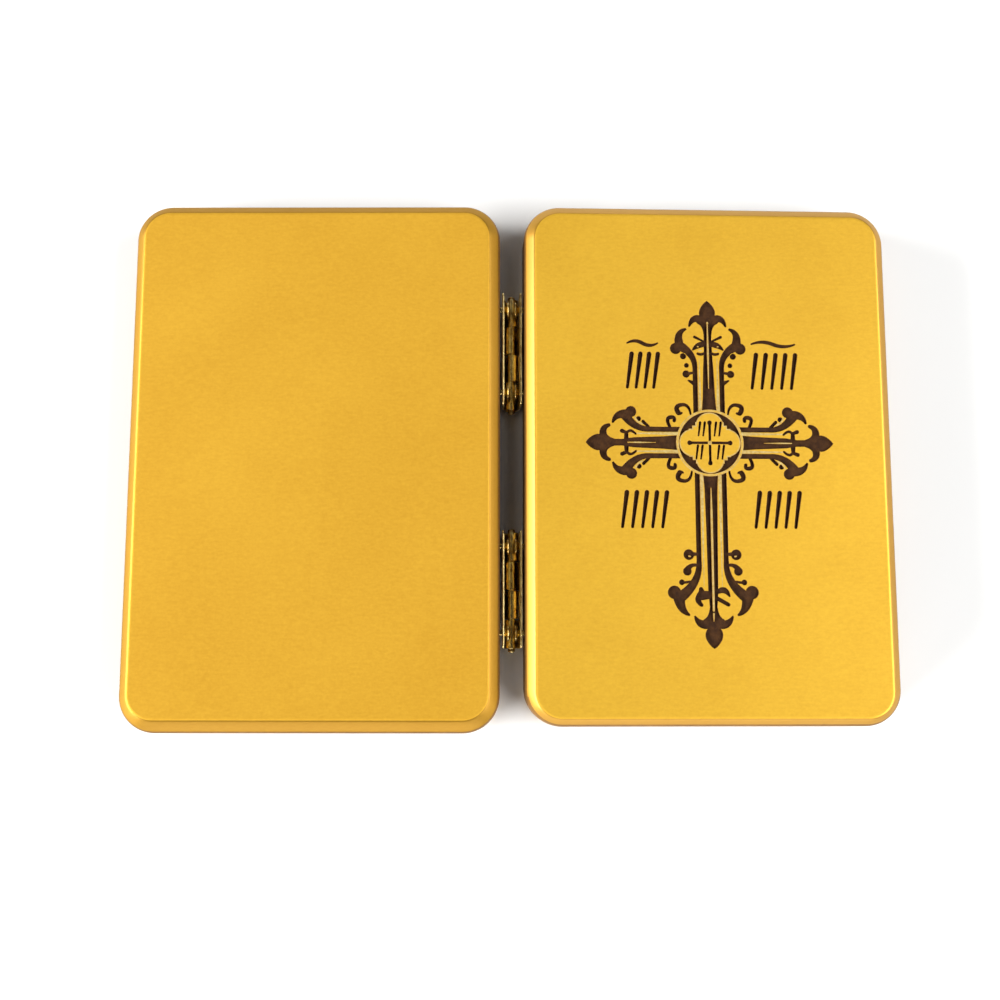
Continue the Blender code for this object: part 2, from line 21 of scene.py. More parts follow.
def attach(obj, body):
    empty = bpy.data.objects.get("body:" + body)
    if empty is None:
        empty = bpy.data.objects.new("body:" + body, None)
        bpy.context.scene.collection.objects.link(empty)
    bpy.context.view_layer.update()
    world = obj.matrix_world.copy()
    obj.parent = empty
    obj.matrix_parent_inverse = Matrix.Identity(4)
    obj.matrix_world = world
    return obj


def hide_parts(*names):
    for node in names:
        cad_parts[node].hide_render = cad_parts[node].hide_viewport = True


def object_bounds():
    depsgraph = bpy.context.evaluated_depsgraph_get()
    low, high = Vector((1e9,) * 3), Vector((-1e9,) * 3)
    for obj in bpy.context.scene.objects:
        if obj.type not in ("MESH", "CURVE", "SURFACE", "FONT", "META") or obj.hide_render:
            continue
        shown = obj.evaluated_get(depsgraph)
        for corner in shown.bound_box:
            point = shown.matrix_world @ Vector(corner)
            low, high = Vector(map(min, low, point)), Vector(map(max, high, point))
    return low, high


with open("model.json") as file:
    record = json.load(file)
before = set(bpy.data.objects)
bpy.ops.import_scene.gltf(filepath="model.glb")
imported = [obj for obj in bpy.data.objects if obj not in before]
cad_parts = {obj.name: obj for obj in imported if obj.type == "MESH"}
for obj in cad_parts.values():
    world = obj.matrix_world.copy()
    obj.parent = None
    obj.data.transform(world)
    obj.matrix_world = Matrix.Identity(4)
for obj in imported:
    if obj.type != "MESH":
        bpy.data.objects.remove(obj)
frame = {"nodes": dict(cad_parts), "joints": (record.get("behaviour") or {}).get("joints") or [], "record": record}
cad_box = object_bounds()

MM = 0.001

size_mm = [round((high - low) / MM, 1) for low, high in zip(*cad_box)]
print("the opened diptych measures", size_mm, "mm")

# %% [markdown]
# ## The camera
#
# The four edges of each board are straight lines in the photograph. Fitting a pinhole camera to those eight
# lines gives where it stood, how it was turned and its lens, so nothing has to be guessed by eye. It hung
# over the table, a little below the middle, and looked up the page.

# %% Camera
CAMERA_PLACE = Vector((-6.50, -39.96, 247.00)) * MM
CAMERA_TURN = (math.radians(7.707), math.radians(-0.979), math.radians(0.031))
SENSOR_WIDTH = 36.0
LENS = 43.2

camera_data = bpy.data.cameras.new("overhead_camera")
camera_data.sensor_width = SENSOR_WIDTH
camera_data.lens = LENS
camera_data.clip_start = 10.0 * MM
camera = bpy.data.objects.new("overhead_camera", camera_data)
camera.location = CAMERA_PLACE
camera.rotation_euler = CAMERA_TURN
bpy.context.scene.collection.objects.link(camera)
bpy.context.scene.camera = camera
print("the camera is", round(CAMERA_PLACE.z / MM), "mm above the table")

# %% [markdown]
# ## The two halves
#
# Laid open, the diptych stands on its barrels and on the boards' far edges, so it makes a very low roof. It
# is easiest to model each half level, with the hinge pin as its own Y axis, and to turn the finished mesh
# into place. The joint gives the pin's place, and a mount on a board's inner face gives the slope. The back
# half is the front half's frame turned half a turn about Z, as the two leaves of a butt hinge are.

# %% Frames of the two halves
pin_place = Vector(frame["joints"][0]["pos_m"])
mounts = {mount["name"]: mount for mount in frame["record"]["mounts"]}
inner_normal = Vector(mounts["front_board_inner_face"]["axis"])
slope = math.atan2(-inner_normal.x, -inner_normal.z)
front_half = Matrix.Translation(pin_place) @ Matrix.Rotation(slope, 4, "Y")
back_half = Matrix.Translation(pin_place) @ Matrix.Rotation(math.pi, 4, "Z") @ Matrix.Rotation(slope, 4, "Y")
print("each board slopes by", round(math.degrees(slope), 2), "degrees")


# %% Where a node lies in its half
def box_in(half, node):
    """Lowest and highest corner of a CAD node, in the frame of its half."""
    to_half = half.inverted()
    points = [to_half @ vert.co for vert in frame["nodes"][node].data.vertices]
    low = Vector([min(point[axis] for point in points) for axis in range(3)])
    high = Vector([max(point[axis] for point in points) for axis in range(3)])
    return low, high


# %% [markdown]
# ## Pieces and finishes
#
# A finished piece keeps its object at the origin and its place in its mesh, so that one call can turn a mesh
# into place, give it its finishes, set it on its body and hide the plain solid that it stands for.

# %% A finished piece
def add_piece(name, bm, half, body, node, finishes):
    """Turns a level mesh into place and sets it on its body, in place of a CAD node."""
    bmesh.ops.transform(bm, matrix=half, verts=bm.verts)
    mesh = bpy.data.meshes.new(name)
    bm.to_mesh(mesh)
    bm.free()
    for finish in finishes:
        mesh.materials.append(finish)
    piece = bpy.data.objects.new(name, mesh)
    bpy.context.scene.collection.objects.link(piece)
    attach(piece, body)
    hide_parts(node)
    return piece


# %% A new node material
def start_finish(name):
    """Empty node material, with its tree, its shader and the object's own coordinates."""
    finish = bpy.data.materials.new(name)
    finish.use_nodes = True
    tree = finish.node_tree
    shader = tree.nodes["Principled BSDF"]
    place = tree.nodes.new("ShaderNodeTexCoord").outputs["Object"]
    return finish, tree, shader, place


# %% Noise of a given grain
def grain(tree, place, size, detail=2.0, stretch=(1.0, 1.0, 1.0)):
    """Noise whose blotches are about size across, drawn out along each axis by stretch."""
    mapping = tree.nodes.new("ShaderNodeMapping")
    mapping.inputs["Scale"].default_value = [1.0 / (size * share) for share in stretch]
    tree.links.new(place, mapping.inputs["Vector"])
    noise = tree.nodes.new("ShaderNodeTexNoise")
    noise.inputs["Scale"].default_value = 1.0
    noise.inputs["Detail"].default_value = detail
    tree.links.new(mapping.outputs["Vector"], noise.inputs["Vector"])
    return noise.outputs["Fac"]


# %% A value spread between two limits
def spread(tree, value, low, high, from_low=0.3, from_high=0.7):
    """Maps the middle of a noise onto low to high."""
    remap = tree.nodes.new("ShaderNodeMapRange")
    remap.inputs["From Min"].default_value = from_low
    remap.inputs["From Max"].default_value = from_high
    remap.inputs["To Min"].default_value = low
    remap.inputs["To Max"].default_value = high
    tree.links.new(value, remap.inputs["Value"])
    return remap.outputs["Result"]


# %% Two colours mixed by a value
def blend_colours(tree, value, first, second):
    """Colour that goes from first to second as value goes from 0 to 1. Either may be a socket."""
    mix = tree.nodes.new("ShaderNodeMix")
    mix.data_type = "RGBA"
    tree.links.new(value, mix.inputs["Factor"])
    for colour, socket in ((first, mix.inputs["A"]), (second, mix.inputs["B"])):
        if isinstance(colour, bpy.types.NodeSocket):
            tree.links.new(colour, socket)
        else:
            socket.default_value = (*colour, 1.0)
    return mix.outputs["Result"]


# %% A bump from a value
def add_bump(tree, shader, value, depth, strength=1.0):
    bump = tree.nodes.new("ShaderNodeBump")
    bump.inputs["Strength"].default_value = strength
    bump.inputs["Distance"].default_value = depth
    tree.links.new(value, bump.inputs["Height"])
    tree.links.new(bump.outputs["Normal"], shader.inputs["Normal"])


# %% [markdown]
# ## Satin gold paint
#
# The boards are sprayed with a metallic paint and a satin lacquer. Close up it shows three things: a soft
# drift of tone over centimetres, a speckle of flakes about half a millimetre wide, and faint streaks across
# the board from rubbing it down between coats. The lacquer is a thin clear coat over a base that is less
# than half metallic. The chamfers carry the same paint, but each board's chamfers get a darker gold of their
# own as painted shade, because the light glances off them and would bleach their gold beyond the flat's.
# The sides can't be seen from above. Their dark colour is painted shade, guessed from the dark lines
# along the edges, and it also keeps the gap between the boards dark.

# %% Gold paint
BACK_GOLD = (0.555, 0.287, 0.022)
BACK_GOLD_LIGHT = (0.665, 0.371, 0.034)
FRONT_GOLD = (0.560, 0.310, 0.025)
FRONT_GOLD_LIGHT = (0.672, 0.394, 0.036)
# The chamfer golds are the flat's paint darkened as painted shade.
BACK_CHAMFER_SHADE = (0.255, 0.128, 0.009)
BACK_CHAMFER_SHADE_LIGHT = (0.290, 0.153, 0.013)
FRONT_CHAMFER_SHADE = (0.310, 0.155, 0.012)
FRONT_CHAMFER_SHADE_LIGHT = (0.355, 0.187, 0.017)
LACQUER = 0.12
CHAMFER_LACQUER = 0.35
LACQUER_ROUGHNESS = 0.35
WARM_GLANCE = (1.0, 0.75, 0.35, 1.0)
# The sides' dark colour is painted shade.
SIDE_SHADE_DARK = (0.070, 0.028, 0.008)
SIDE_SHADE_LIGHT = (0.200, 0.095, 0.016)
DRIFT_SIZE = 22.0 * MM
FLAKE_SIZE = 0.50 * MM
STREAK_SIZE = 0.5 * MM
STREAK_STRETCH = (2.6, 1.0, 1.0)
DRIFT_TONE = 0.35
FLAKE_TONE = 0.7
FLAKE_WEIGHT = 0.6
STREAK_TONE = 0.35
SATIN_BELOW = 0.02
SATIN_ABOVE = 0.03
PAINT_RELIEF = 0.003 * MM


def gold_paint(name, dark, light, roughness, metal, gloss, lacquer=LACQUER):
    """Metallic paint from dark to light under a clear lacquer, with drift, flakes and streaks."""
    finish, tree, shader, place = start_finish(name)
    drift = grain(tree, place, DRIFT_SIZE)
    flakes = grain(tree, place, FLAKE_SIZE, 3.0)
    streaks = grain(tree, place, STREAK_SIZE, 2.0, STREAK_STRETCH)
    tone = tree.nodes.new("ShaderNodeMath")
    tone.operation = "MULTIPLY_ADD"
    tree.links.new(spread(tree, flakes, 0.0, FLAKE_TONE, 0.22, 0.78), tone.inputs[0])
    tone.inputs[1].default_value = FLAKE_WEIGHT
    tree.links.new(spread(tree, streaks, 0.0, STREAK_TONE), tone.inputs[2])
    total = tree.nodes.new("ShaderNodeMath")
    total.operation = "ADD"
    tree.links.new(tone.outputs["Value"], total.inputs[0])
    tree.links.new(spread(tree, drift, 0.0, DRIFT_TONE), total.inputs[1])
    colour = blend_colours(tree, total.outputs["Value"], dark, light)
    tree.links.new(colour, shader.inputs["Base Color"])
    satin = spread(tree, flakes, roughness - SATIN_BELOW, roughness + SATIN_ABOVE, 0.2, 0.8)
    tree.links.new(satin, shader.inputs["Roughness"])
    add_bump(tree, shader, total.outputs["Value"], PAINT_RELIEF)
    shader.inputs["Metallic"].default_value = metal
    shader.inputs["Specular IOR Level"].default_value = gloss
    shader.inputs["Specular Tint"].default_value = WARM_GLANCE
    shader.inputs["Coat Weight"].default_value = lacquer
    shader.inputs["Coat Roughness"].default_value = LACQUER_ROUGHNESS
    return finish


back_gold = gold_paint("satin_gold_of_the_back_board", BACK_GOLD, BACK_GOLD_LIGHT,
                       roughness=0.42, metal=0.40, gloss=0.25)
front_gold = gold_paint("satin_gold_of_the_front_board", FRONT_GOLD, FRONT_GOLD_LIGHT,
                        roughness=0.42, metal=0.40, gloss=0.25)
# Painted shade: the chamfers' gold is darker than the flat's.
back_chamfer_shade = gold_paint("gold_with_painted_shade_on_the_back_chamfers", BACK_CHAMFER_SHADE, BACK_CHAMFER_SHADE_LIGHT,
                          roughness=0.45, metal=0.65, gloss=0.20)
front_chamfer_shade = gold_paint("lacquered_gold_with_painted_shade_on_the_front_chamfers", FRONT_CHAMFER_SHADE, FRONT_CHAMFER_SHADE_LIGHT,
                           roughness=0.43, metal=0.65, gloss=0.20, lacquer=CHAMFER_LACQUER)
# Painted shade: the sides are dark so that the gap between the boards stays dark.
side_shade = gold_paint("dark_painted_shade_on_the_sides", SIDE_SHADE_DARK, SIDE_SHADE_LIGHT,
                       roughness=0.50, metal=0.30, gloss=0.25)
print("made", [paint.name for paint in (back_gold, front_gold, back_chamfer_shade, front_chamfer_shade, side_shade)])

# %% [markdown]
# ## Scorched rims, pale ridges with painted highlights, and burnt wood
#
# The beam leaves three more finishes. Along each cut the heat scorches the gold to a thin dark rim, which is
# the same paint in browner colours. Narrow ridges between two cuts turn pale right across, partly from the
# heat and partly as painted highlight, and the same pale gold draws the painted glints along the arms and the
# highlighted rim of the quatrefoil. The floor of a cut is charred board: dark brown, dull and fibrous, and a
# little lighter where the beam ran quickly over a wide area.

# %% Pale ridge
PALE_DARK = (0.44, 0.27, 0.05)
PALE_LIGHT = (0.56, 0.43, 0.17)
RIDGE_PATCH = 0.6 * MM
RIDGE_METAL = 0.3
RIDGE_LACQUER = 0.4
RIDGE_LACQUER_ROUGHNESS = 0.25


def pale_ridge_and_highlight(name):
    """Pale gold in patches, partly as on the ridges that the heat has lifted and partly painted highlight."""
    finish, tree, shader, place = start_finish(name)
    patches = grain(tree, place, RIDGE_PATCH, 3.0)
    tree.links.new(blend_colours(tree, spread(tree, patches, 0.0, 1.0), PALE_DARK, PALE_LIGHT),
                   shader.inputs["Base Color"])
    tree.links.new(spread(tree, patches, 0.30, 0.45), shader.inputs["Roughness"])
    add_bump(tree, shader, patches, PAINT_RELIEF)
    shader.inputs["Metallic"].default_value = RIDGE_METAL
    shader.inputs["Coat Weight"].default_value = RIDGE_LACQUER
    shader.inputs["Coat Roughness"].default_value = RIDGE_LACQUER_ROUGHNESS
    return finish


# %% Burnt wood
CHAR_DARK = (0.018, 0.006, 0.002)
CHAR_LIGHT = (0.058, 0.023, 0.006)
SCORCH_DARK = (0.16, 0.065, 0.008)
SCORCH_LIGHT = (0.42, 0.22, 0.025)
CHAR_PATCH = 1.1 * MM
FIBRE_SIZE = 0.12 * MM
FIBRE_STRETCH = (1.0, 5.0, 1.0)
CHAR_RELIEF = 0.05 * MM
CHAR_GLOSS = 0.12


def burnt_wood(name):
    """Char in patches, crossed by the fibres of the board."""
    finish, tree, shader, place = start_finish(name)
    patches = grain(tree, place, CHAR_PATCH, 3.0)
    fibres = grain(tree, place, FIBRE_SIZE, 4.0, FIBRE_STRETCH)
    both = tree.nodes.new("ShaderNodeMath")
    both.operation = "ADD"
    tree.links.new(spread(tree, patches, 0.0, 0.7), both.inputs[0])
    tree.links.new(spread(tree, fibres, 0.0, 0.4), both.inputs[1])
    tree.links.new(blend_colours(tree, both.outputs["Value"], CHAR_DARK, CHAR_LIGHT),
                   shader.inputs["Base Color"])
    tree.links.new(spread(tree, fibres, 0.62, 0.85), shader.inputs["Roughness"])
    add_bump(tree, shader, fibres, CHAR_RELIEF)
    shader.inputs["Specular IOR Level"].default_value = CHAR_GLOSS
    return finish


# The pale finish is partly painted highlight.
pale = pale_ridge_and_highlight("pale_ridge_and_painted_highlight")
burnt = burnt_wood("burnt_wood")
scorched = gold_paint("gold_scorched_by_the_beam", SCORCH_DARK, SCORCH_LIGHT,
                      roughness=0.50, metal=0.30, gloss=0.20)
print("made", pale.name + ",", burnt.name, "and", scorched.name)

# %% [markdown]
# ## Brass
# The hinges are stamped from bright sheet and the nails and pins are drawn wire. Brass this small is never
# clean: it is scratched along the way it was rolled, and it is stained brown. A fine stretched noise sets
# the scratches, and a coarser one the brown, which is laid on heavily enough to be partly painted shade for
# the hinges down in the dark gap.

# %% Brass
BRASS_BRIGHT = (0.90, 0.72, 0.30)
BRASS_BROWN = (0.36, 0.18, 0.04)
SCRATCH_SIZE = 0.12 * MM
TARNISH_SIZE = 1.3 * MM
BRASS_RELIEF = 0.0008 * MM


def scratched_brass_with_painted_shade(name, roughness, tarnish_and_shade, scratch_stretch):
    """Brass with scratches drawn out along the way it was worked, and with brown stains that are partly painted
    shade.
    """
    finish, tree, shader, place = start_finish(name)
    scratches = grain(tree, place, SCRATCH_SIZE, 2.0, scratch_stretch)
    stains_and_shade = grain(tree, place, TARNISH_SIZE, 4.0)
    brown = spread(tree, stains_and_shade, 0.0, tarnish_and_shade, 0.4, 0.7)
    tree.links.new(blend_colours(tree, brown, BRASS_BRIGHT, BRASS_BROWN), shader.inputs["Base Color"])
    tree.links.new(spread(tree, scratches, roughness - 0.03, roughness + 0.05), shader.inputs["Roughness"])
    add_bump(tree, shader, scratches, BRASS_RELIEF)
    shader.inputs["Metallic"].default_value = 1.0
    return finish


# The brown on the hinge brass is partly painted shade.
sheet_brass = scratched_brass_with_painted_shade("rolled_sheet_brass", 0.28, 0.7, (1.0, 14.0, 1.0))
pin_brass = scratched_brass_with_painted_shade("drawn_pin_brass", 0.34, 1.2, (1.0, 20.0, 1.0))
nail_brass = scratched_brass_with_painted_shade("nail_brass", 0.24, 0.6, (1.0, 1.0, 1.0))
print("made three kinds of brass")

# %% [markdown]
# ## The plain board
#
# Each board is a flat block with round corners, a flat chamfer round its outer face and a small ease round
# its inner one. That is how a joiner makes it, and it is also the shortest way in Blender: a cube, a bevel
# on its four upright edges, a wide one-step bevel round the outer face, and then small rounded bevels where
# the paint has softened the arrises. The two boards differ at the foot, where one chamfer is wide and the
# other narrow, so the face's foot is slid along after the chamfer is cut. The lean of each face then says
# whether it is a side, a chamfer or the flat, and so which paint it gets.

# %% Sizes that the two boards share
CORNER_RADIUS = 7.3 * MM
FACE_CHAMFER = 2.1 * MM
FRONT_FOOT_CHAMFER = 1.6 * MM
BACK_FOOT_CHAMFER = 2.6 * MM
INNER_EASE = 0.4 * MM
FACE_ARRIS = 0.45 * MM
SIDE_ARRIS = 0.8 * MM
CORNER_SEGMENTS = 16
ARRIS_SEGMENTS = 4
# Faces steeper than SIDE_LEAN, the sides and the outer part of each arris, get the sides' painted shade, which
# draws a dark line along each edge. Faces up to FACE_LEAN get the chamfers' painted shade.
SIDE_LEAN = 0.60
FACE_LEAN = 0.93
MERGE = 0.002 * MM
GILT, CHAMFER, SIDE, PALE, BURNT, SCORCH = range(6)


# %% Edges round a face
def rim_of(faces):
    """Edges that border the faces."""
    edges = {edge for face in faces for edge in face.edges}
    return [edge for edge in edges if sum(face in faces for face in edge.link_faces) == 1]


# %% A block with round corners
def rounded_block(low, high, radius):
    bm = bmesh.new()
    bmesh.ops.create_cube(bm, size=1.0)
    bmesh.ops.scale(bm, vec=high - low, verts=bm.verts)
    bmesh.ops.translate(bm, vec=(low + high) / 2.0, verts=bm.verts)
    upright = [edge for edge in bm.edges if abs(edge.verts[0].co.z - edge.verts[1].co.z) > MERGE]
    corners = bmesh.ops.bevel(bm, geom=upright, offset=radius, affect="EDGES", segments=CORNER_SEGMENTS,
                              profile=0.5, material=-1)
    for face in corners["faces"]:
        face.smooth = True
    return bm


# %% A bevel round one face
def bevel_rim(bm, edges, width, segments):
    """Bevels edges and shades the new faces smooth."""
    made = bmesh.ops.bevel(bm, geom=edges, offset=width, affect="EDGES", segments=segments, profile=0.5,
                           material=-1)
    for face in made["faces"]:
        face.smooth = True
    return made["faces"]


# %% The whole board
def level_faces(bm, height):
    """Faces that lie flat at a height."""
    return [face for face in bm.faces if all(abs(vert.co.z - height) < MERGE for vert in face.verts)]


def board_shape(low, high, foot_chamfer, foot_side):
    """Board in its half's frame. foot_side is -1 where its foot is towards -Y."""
    bm = rounded_block(low, high, CORNER_RADIUS)
    bevel_rim(bm, rim_of(level_faces(bm, high.z)), FACE_CHAMFER, 1)
    middle = (low.y + high.y) / 2.0
    face = level_faces(bm, high.z)
    foot = [vert for vert in face[0].verts if (vert.co.y - middle) * foot_side > 0.0]
    bmesh.ops.translate(bm, verts=foot, vec=(0.0, foot_side * (FACE_CHAMFER - foot_chamfer), 0.0))
    arris_height = high.z - FACE_CHAMFER
    arris = [edge for edge in bm.edges if all(abs(vert.co.z - arris_height) < MERGE for vert in edge.verts)]
    bevel_rim(bm, arris, SIDE_ARRIS, ARRIS_SEGMENTS)
    bevel_rim(bm, rim_of(level_faces(bm, high.z)), FACE_ARRIS, ARRIS_SEGMENTS)
    bevel_rim(bm, rim_of(level_faces(bm, low.z)), INNER_EASE, ARRIS_SEGMENTS)
    bm.normal_update()
    # Sides and chamfers get finishes darkened as painted shade.
    for face in bm.faces:
        if abs(face.normal.z) < SIDE_LEAN:
            face.material_index = SIDE
        elif 0.0 < face.normal.z < FACE_LEAN:
            face.material_index = CHAMFER
    return bm


# %% Back board
low, high = box_in(back_half, "back_board")
plain = board_shape(low, high, BACK_FOOT_CHAMFER, 1)
add_piece("plain_back_board", plain, back_half, "back_half", "back_board",
          [back_gold, back_chamfer_shade, side_shade])
print("the back board is", [round(side / MM, 2) for side in high - low], "mm")

# %% [markdown]
# ## The drawing of the cross
#
# The cross is a foliated one: each arm ends in a bud with two curled leaves, two horns with balls, a pair of
# sprigs and a string of beads, and the four arms meet in a medallion. Drawn by hand it would be hundreds of
# points. Drawn as a maker would, it is a few kinds of stroke: a line with a width that swells and tapers, a
# disc and a pointed leaf. The top, the foot and the sides have each their own list of strokes, and one
# function draws any of them. The medallion is drawn over them, as paint would be.

# %% Discs and boxes
def disc(centre, radius, sides=24):
    turn = 2.0 * math.pi / sides
    return [centre + radius * Vector((math.cos(k * turn), math.sin(k * turn))) for k in range(sides)]


def box_outline(centre, half_x, half_y):
    corners = ((-half_x, -half_y), (half_x, -half_y), (half_x, half_y), (-half_x, half_y))
    return [centre + Vector(corner) for corner in corners]


# %% Strokes
STROKE_STEPS = 14
TIP_STEPS = 5


def bend(values, t):
    """Value at t on the straight or curved run that two or three control values give."""
    if len(values) == 2:
        return values[0] * (1.0 - t) + values[1] * t
    start, middle, end = values
    return start * (1.0 - t) ** 2 + middle * 2.0 * t * (1.0 - t) + end * t ** 2


def round_tip(point, tangent, width):
    """Half round end of a stroke, from its right side to its left."""
    side = Vector((-tangent.y, tangent.x))
    turn = math.pi / TIP_STEPS
    angles = [-math.pi / 2.0 + turn * k for k in range(1, TIP_STEPS)]
    return [point + width / 2.0 * (tangent * math.cos(a) + side * math.sin(a)) for a in angles]


def stroke(points, widths):
    """Outline of a tapered stroke with round ends."""
    steps = 1 if len(points) == 2 else STROKE_STEPS
    spine = [bend(points, k / steps) for k in range(steps + 1)]
    left = []
    right = []
    for k, point in enumerate(spine):
        tangent = (spine[min(k + 1, steps)] - spine[max(k - 1, 0)]).normalized()
        side = Vector((-tangent.y, tangent.x)) * bend(widths, k / steps) * 0.5
        left.append(point + side)
        right.append(point - side)
    first = (spine[1] - spine[0]).normalized()
    last = (spine[-1] - spine[-2]).normalized()
    end = round_tip(spine[-1], last, widths[-1])
    start = round_tip(spine[0], -first, widths[0])
    return right + end + left[::-1] + start


# %% Pointed leaves
def leaf(base, tip, width):
    """Outline of a pointed leaf, widest just past its middle."""
    axis = tip - base
    side = Vector((-axis.y, axis.x)).normalized() * width * 0.5
    shares = [k / STROKE_STEPS for k in range(1, STROKE_STEPS)]
    swell = [math.sin(math.pi * t ** 0.9) ** 0.8 for t in shares]
    right = [base + axis * t - side * s for t, s in zip(shares, swell)]
    left = [base + axis * t + side * s for t, s in zip(shares, swell)]
    return [base] + right + [tip] + left[::-1]


# %% Sizes of the cross
CROSS_DROP = 49.9 * MM
CROSS_SHIFT = -0.2 * MM
TOP_REACH = 29.5 * MM
FOOT_REACH = 41.2 * MM
SIDE_REACH = 25.1 * MM
ARM_BAR_START = 5.2
ARM_BAR_OFFSET = 2.72
ARM_BAR_WIDTH = 1.0
CHANNEL_START = 6.0
CHANNEL_OFFSET = 1.82
CHANNEL_WIDTH = 0.85
CHANNEL_TIP = 0.1
MEDALLION_RADIUS = 6.85 * MM
MEDALLION_RING = 0.55 * MM
MEDALLION_LINE = 0.20 * MM


# %% [markdown]
# An arm is drawn once for its right side, at the size at which it was measured, and the left side is its
# mirror image, apart from a few marks of the foot. Each mark is a line of two or three points (across the
# arm, then along it from the middle) with a width for each point. The reach of the arm over the reach at
# which it was drawn scales the whole drawing.

# %% The top arm
TOP_DRAWN_REACH = 29.5
TOP_BUD = (24.7, 29.5, 3.3)
TOP_STEM = ((6.2, 1.52), (9.5, 1.25), (15.0, 1.05), (18.5, 0.85), (24.8, 0.72))
TOP_BAR_END = 15.6
TOP_MARKS = [
    ([(0.40, 22.4), (0.45, 24.6), (1.70, 25.2)], [0.8, 1.0, 1.2]),
    ([(0.30, 24.9), (2.80, 26.9), (3.72, 24.2)], [1.5, 1.9, 0.4]),
    ([(2.72, 15.0), (2.54, 18.4), (5.80, 20.0)], [1.0, 1.1, 2.0]),
    ([(5.75, 20.0), (6.50, 22.8), (4.55, 23.5)], [1.9, 1.5, 0.5]),
    ([(0.70, 20.9), (2.70, 21.9)], [0.40, 0.55]),
    ([(0.60, 20.4), (2.00, 20.4), (3.10, 19.2)], [1.0, 1.6, 0.3]),
    ([(0.80, 18.5), (1.30, 18.1), (2.10, 18.4)], [0.5, 0.6, 0.5]),
    ([(3.10, 14.4), (4.40, 14.2)], [0.5, 0.6]),
    ([(2.90, 12.2), (4.10, 12.8)], [1.0, 0.3]),
]
TOP_BALLS = [(6.60, 19.45, 1.15), (5.10, 17.85, 0.62), (4.45, 15.95, 0.48), (4.55, 14.15, 0.74)]
TOP_RIBS = [([(0.0, 11.2), (0.0, 18.5)], [0.15, 0.42]), ([(0.0, 18.5), (0.0, 25.0)], [0.42, 0.20]),
            ([(0.0, 24.7), (0.0, 24.9)], [0.36, 0.40])]
TOP_GLINTS = [([(1.95, 19.85), (2.10, 19.90)], [0.26, 0.26]), ([(1.25, 19.0), (1.85, 19.05)], [0.22, 0.30])]
TOP_FADE = 17.5

# %% The foot
FOOT_DRAWN_REACH = 41.2
FOOT_BUD = (36.2, 41.2, 3.5)
FOOT_STEM = ((6.2, 1.52), (9.5, 1.30), (17.0, 1.15), (30.0, 1.0), (33.0, 0.75), (35.8, 0.75))
FOOT_BAR_END = 24.4
FOOT_MARKS = [
    ([(0.40, 33.2), (0.50, 35.2), (1.60, 36.0)], [0.8, 1.0, 1.4]),
    ([(0.40, 36.2), (2.75, 37.1), (3.75, 34.9)], [1.6, 2.1, 0.4]),
    ([(2.72, 24.0), (2.60, 28.2), (6.50, 31.0)], [1.05, 1.35, 2.2]),
    ([(6.90, 30.9), (6.60, 33.7), (4.95, 34.5)], [2.4, 1.7, 0.5]),
    ([(3.20, 24.7), (4.40, 24.5), (5.00, 25.5)], [0.6, 0.6, 1.3]),
    ([(4.60, 28.0), (6.20, 28.2)], [0.5, 0.5]),
    ([(3.20, 22.5), (4.60, 22.5)], [0.6, 1.0]),
]
FOOT_LEFT_MARKS = [
    ([(0.60, 30.6), (2.40, 30.7)], [1.5, 1.9]),
    ([(2.20, 30.6), (2.45, 29.5)], [1.7, 0.9]),
    ([(2.30, 30.6), (3.70, 31.4), (2.40, 32.6)], [1.4, 1.4, 0.7]),
]
FOOT_RIGHT_MARKS = [
    ([(0.80, 30.1), (2.30, 28.9), (3.20, 30.8)], [0.7, 1.8, 0.4]),
    ([(0.80, 31.3), (2.95, 32.5)], [0.8, 0.75]),
]
FOOT_BALLS = [(7.75, 30.10, 1.32), (4.75, 22.60, 1.05), (5.10, 25.90, 0.85), (6.25, 28.10, 0.55)]
FOOT_RIBS = [([(0.0, 9.2), (0.0, 14.0)], [0.16, 0.44]), ([(0.0, 14.0), (0.0, 33.7)], [0.44, 0.42]),
             ([(0.0, 34.3), (0.0, 35.8)], [0.36, 0.14])]
FOOT_GLINTS = [([(4.50, 22.95), (4.75, 22.9)], [0.34, 0.30])]
FOOT_FADE = 29.0

# %% A side arm
SIDE_DRAWN_REACH = 25.1
SIDE_BUD = (20.4, 25.1, 3.3)
SIDE_STEM = ((6.2, 1.52), (9.5, 1.25), (15.5, 1.0), (17.8, 0.65), (20.8, 0.70))
SIDE_BAR_END = 12.5
SIDE_MARKS = [
    ([(0.40, 19.6), (0.60, 20.8), (1.50, 21.4)], [0.8, 1.0, 1.2]),
    ([(0.60, 21.3), (2.98, 22.2), (3.50, 20.4)], [1.6, 1.5, 0.7]),
    ([(2.72, 12.2), (2.65, 15.2), (5.60, 17.1)], [1.0, 1.2, 2.0]),
    ([(5.70, 16.5), (6.15, 18.8), (4.20, 19.6)], [2.0, 1.6, 0.5]),
    ([(0.60, 16.9), (2.00, 16.9)], [1.0, 0.75]),
    ([(2.00, 16.9), (2.35, 17.8)], [0.6, 0.8]),
    ([(1.90, 16.8), (2.95, 16.2), (1.75, 15.0)], [0.5, 0.6, 0.4]),
    ([(4.30, 13.5), (3.20, 12.4)], [0.65, 0.60]),
]
SIDE_BALLS = [(6.30, 15.95, 1.12), (4.85, 14.40, 0.50)]
SIDE_RIBS = [([(0.0, 11.0), (0.0, 14.5)], [0.12, 0.34]), ([(0.0, 14.5), (0.0, 16.6)], [0.34, 0.26])]
SIDE_GLINTS = [([(5.2, 15.1), (4.1, 14.7), (3.75, 13.6)], [0.30, 0.34, 0.30])]
SIDE_FADE = 16.0


